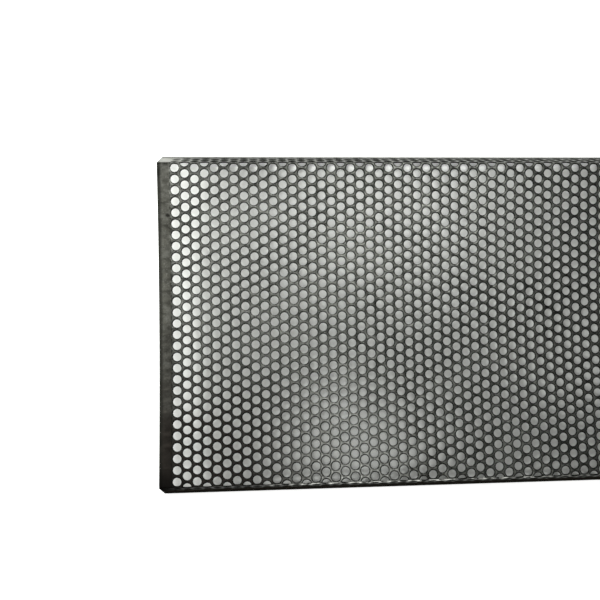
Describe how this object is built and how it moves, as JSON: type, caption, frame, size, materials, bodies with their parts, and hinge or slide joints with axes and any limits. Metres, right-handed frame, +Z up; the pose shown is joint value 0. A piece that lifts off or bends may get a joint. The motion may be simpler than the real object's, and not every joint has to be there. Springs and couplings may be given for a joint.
{
  "type": "perforated metal sheet",
  "caption": "Perforated steel sheet with staggered round holes, its two long edges folded down as splayed flanges, lying face up.",
  "frame": {"origin": "centre of the rectangle that the part stands on, on the surface it rests on", "axes": "+X along the sheet's length, +Y across its width, +Z up out of the face"},
  "size_m": [0.5, 0.2522, 0.0247],
  "materials": {
    "mild_steel": "bare dark steel with a satin mill skin, light smudges and a faint rust tinge"
  },
  "bodies": {
    "root": {"perforated_sheet": "mild_steel"}
  },
  "joints": []
}
